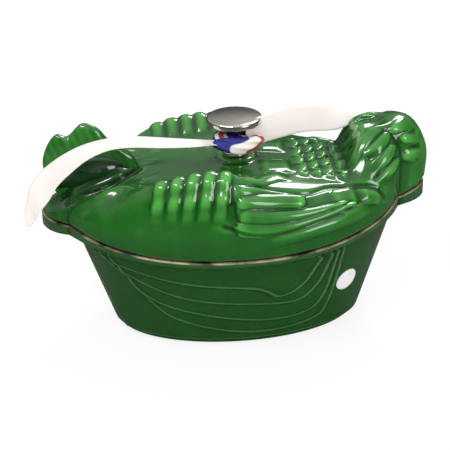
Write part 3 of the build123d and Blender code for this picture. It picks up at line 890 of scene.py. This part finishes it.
def woven(name, striped):
    """Ribbon cloth: fine ribs of weave, with blue, white and red bands where striped."""
    material = blank_material(name)
    tree = material.node_tree
    run = Wire.add(tree, "ShaderNodeAttribute", {"attribute_name": "run"}, output="Fac")
    cross = Wire.add(tree, "ShaderNodeAttribute", {"attribute_name": "cross"}, output="Fac")
    threads, warp = (run * 9000.0).maths("SINE"), (cross * 140.0).maths("SINE")
    weave = threads * 0.5 + warp * 0.5
    white, red, blue = (0.80, 0.74, 0.70), (0.45, 0.015, 0.01), (0.004, 0.008, 0.20)
    stops = [(0.0, [c * 0.9 for c in white]), (1.0, white)]
    shade = weave * 0.06 + 0.5
    cloth = Wire.add(tree, "ShaderNodeValToRGB", {"stops": stops}, {"Fac": shade}, "Color")
    if striped:
        bands = [
            (0.0, blue), (0.46, blue), (0.48, white), (0.66, white),
            (0.68, red), (0.88, red), (0.90, white), (1.0, white),
        ]
        place = {"Fac": cross.maths("FRACT")}
        stripes = Wire.add(tree, "ShaderNodeValToRGB", {"stops": bands}, place, "Color")
        dyes = {0: 0.97, 6: cloth, 7: stripes}
        cloth = Wire.add(tree, "ShaderNodeMix", {"data_type": "RGBA"}, dyes, 2)
    ribs = {"Height": weave, "Strength": 0.25, "Distance": 0.0002}
    finish = {
        "Base Color": cloth,
        "Roughness": 0.62,
        "Specular IOR Level": 0.25,
        "Normal": Wire.add(tree, "ShaderNodeBump", inputs=ribs),
    }
    skin = Wire.add(tree, "ShaderNodeBsdfPrincipled", inputs=finish)
    Wire.add(tree, "ShaderNodeOutputMaterial", inputs={"Surface": skin})
    return material


plain_cloth, striped_cloth = woven("ribbon_cloth", False), woven("ribbon_stripes", True)
left_route = [
    (-6, -19, 163.5, 20, 0.25), (-17, -19, 165.0, 6, 0.45), (-33, -20, 165.8, -1, 0.8),
    (-58, -22, 168.3, -1, 0.95), (-82, -23, 170.6, 1, 1), (-101, -24, 169.8, 5, 1),
    (-119, -26, 165.0, 14, 1), (-136, -28, 155.5, 26, 1), (-149, -29, 144.5, 36, 1),
    (-158, -31, 131.5, 38, 0.9), (-164, -32, 119.0, 30, 0.58), (-167, -34, 109.0, 24, 0.13),
]
right_route = [
    (13, -13, 165.0, 88, 0.45), (23, -10, 169.5, 100, 1), (38, -4, 171.3, 109, 1),
    (54, 3, 171.8, 112, 1), (68, 8, 170.6, 115, 1), (79, 13, 168.2, 124, 1),
    (88, 19, 165.8, 137, 1), (96, 28, 164.2, 148, 1), (102, 38, 162.5, 154, 0.95),
]
for node_name, route, ripple in (
    ("ribbon_left_tail", left_route, 0.5),
    ("ribbon_right_tail", right_route, 0.4),
):
    tail, length = ribbon_strip(node_name + "_cloth", route, ripple=ripple)
    tail.data.materials.append(plain_cloth)
    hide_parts(node_name)
    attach(tail, "lid")


# Turn and knot: the same ribbon, striped blue, white and red, bunched round the knob's neck
# and pulled through itself in a fat roll at the front.
def bunch(name, centre_line, radius, turns, bands, squash_z=1.0, around=48):
    """A bunched, slightly folded roll of ribbon along a closed or open line in millimetres."""
    line = rounded_path(centre_line, 8)
    along = np.gradient(line, axis=0)
    along /= np.linalg.norm(along, axis=1, keepdims=True)
    level = np.cross(along, [0.0, 0.0, 1.0])
    level /= np.maximum(np.linalg.norm(level, axis=1, keepdims=True), 1e-6)
    upright = np.cross(level, along)
    angle = np.linspace(0, 2 * math.pi, around, endpoint=False)
    radii = np.interp(np.linspace(0, 1, len(line)), np.linspace(0, 1, len(radius)), radius)
    rows, crosses = [], []
    for i, r in enumerate(radii):
        twist = turns * i / len(radii) * 2 * math.pi
        fold = 1 + 0.10 * np.sin(3 * angle + twist) + 0.09 * np.sin(6 * angle + 2 * twist)
        flat, high = np.cos(angle) * fold * r, np.sin(angle) * fold * r * squash_z
        rows.append(line[i] + (flat[:, None] * level[i] + high[:, None] * upright[i]))
        crosses.append(bands(angle, i / len(radii)))
    piece = ring_mesh(name, rows, start=line[0], end=line[-1])
    for mark in ("run", "cross"):
        mark_vertices(piece, mark, np.ravel(crosses))
    piece.data.materials.append(striped_cloth)
    face_outward(piece)
    return piece


TURN_RADIUS, TURN_Z, TURN_THICK = 12.5, 162.0, 4.6
neck_line = [
    (KNOB_X + TURN_RADIUS * math.cos(a), TURN_RADIUS * math.sin(a), TURN_Z + 1.2 * math.sin(2 * a))
    for a in np.linspace(-0.5 * math.pi, 1.45 * math.pi, 22)
]
wrap = bunch(
    "ribbon_wrap",
    neck_line,
    [TURN_THICK, TURN_THICK],
    3.0,
    lambda a, share: (a / (2 * math.pi) + 3 * share) % 1.0,
)
knot = bunch(
    "ribbon_knot_roll",
    [
        (-15, -17, 163.5), (-8, -19.5, 163), (2, -20, 161.5),
        (12, -19, 162), (19, -17, 163.5), (24, -14, 164.5),
    ],
    [3.0, 5.5, 7.0, 6.5, 5.0, 3.2],
    1.2,
    lambda a, share: np.clip(0.02 + 0.95 * share + 0.16 * np.sin(a + 5 * share), 0.0, 1.0),
    squash_z=0.9,
)
for piece in (wrap, knot):
    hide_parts("ribbon_knot")
    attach(piece, "lid")


# Label: a small round of blank white paper near the tail end of the pot, stuck flat on the
# curved and feathered wall.
LABEL_X, LABEL_Z, LABEL_RADIUS = 87.5, 49.5, 10.5
LABEL_FACE, LABEL_BACK = 0.45, 0.1
WALL_SLOPE = -0.3
long_half = FOOT_LENGTH + WALL_GROWTH[0] * LABEL_Z / RIM_HEIGHT
wide_half = FOOT_WIDTH + WALL_GROWTH[1] * LABEL_Z / RIM_HEIGHT
label_y = -wide_half * math.sqrt(1 - (LABEL_X / long_half) ** 2)
wall_out = Vector((LABEL_X / long_half**2, label_y / wide_half**2, 0.0)).normalized()
label_out = (wall_out + Vector((0, 0, WALL_SLOPE))).normalized()
label_level = Vector((0, 0, 1)).cross(label_out).normalized()
label_up = label_out.cross(label_level)
label_centre = Vector((LABEL_X, label_y, LABEL_Z))


def label_ring(radius, lift):
    """Points of the label's round, pressed on the curved wall."""
    ring = []
    for a in np.linspace(0, 2 * math.pi, 48, endpoint=False):
        flat = label_centre + label_level * radius * math.cos(a) + label_up * radius * math.sin(a)
        grow = flat.z / RIM_HEIGHT
        a_long, a_wide = FOOT_LENGTH + WALL_GROWTH[0] * grow, FOOT_WIDTH + WALL_GROWTH[1] * grow
        on_wall = 1 / math.sqrt((flat.x / a_long) ** 2 + (flat.y / a_wide) ** 2)
        place = Vector((flat.x * on_wall, flat.y * on_wall, flat.z))
        ring.append(tuple(place + label_out * (lift + FEATHER_STEP)))
    return ring


label_radii = (2.0, 4.0, 6.0, 8.5, LABEL_RADIUS)
label = ring_mesh(
    "label_paper_round",
    [label_ring(r, LABEL_FACE) for r in label_radii]
    + [label_ring(r, LABEL_BACK) for r in label_radii[::-1]],
    start=np.mean(label_ring(0.5, LABEL_FACE), axis=0),
    end=np.mean(label_ring(0.5, LABEL_BACK), axis=0),
)
label.data.materials.append(plain("label_paper", (0.86, 0.85, 0.82), 0.5, grain=0.3))
face_outward(label)
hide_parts("round_label")
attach(label, "pot")
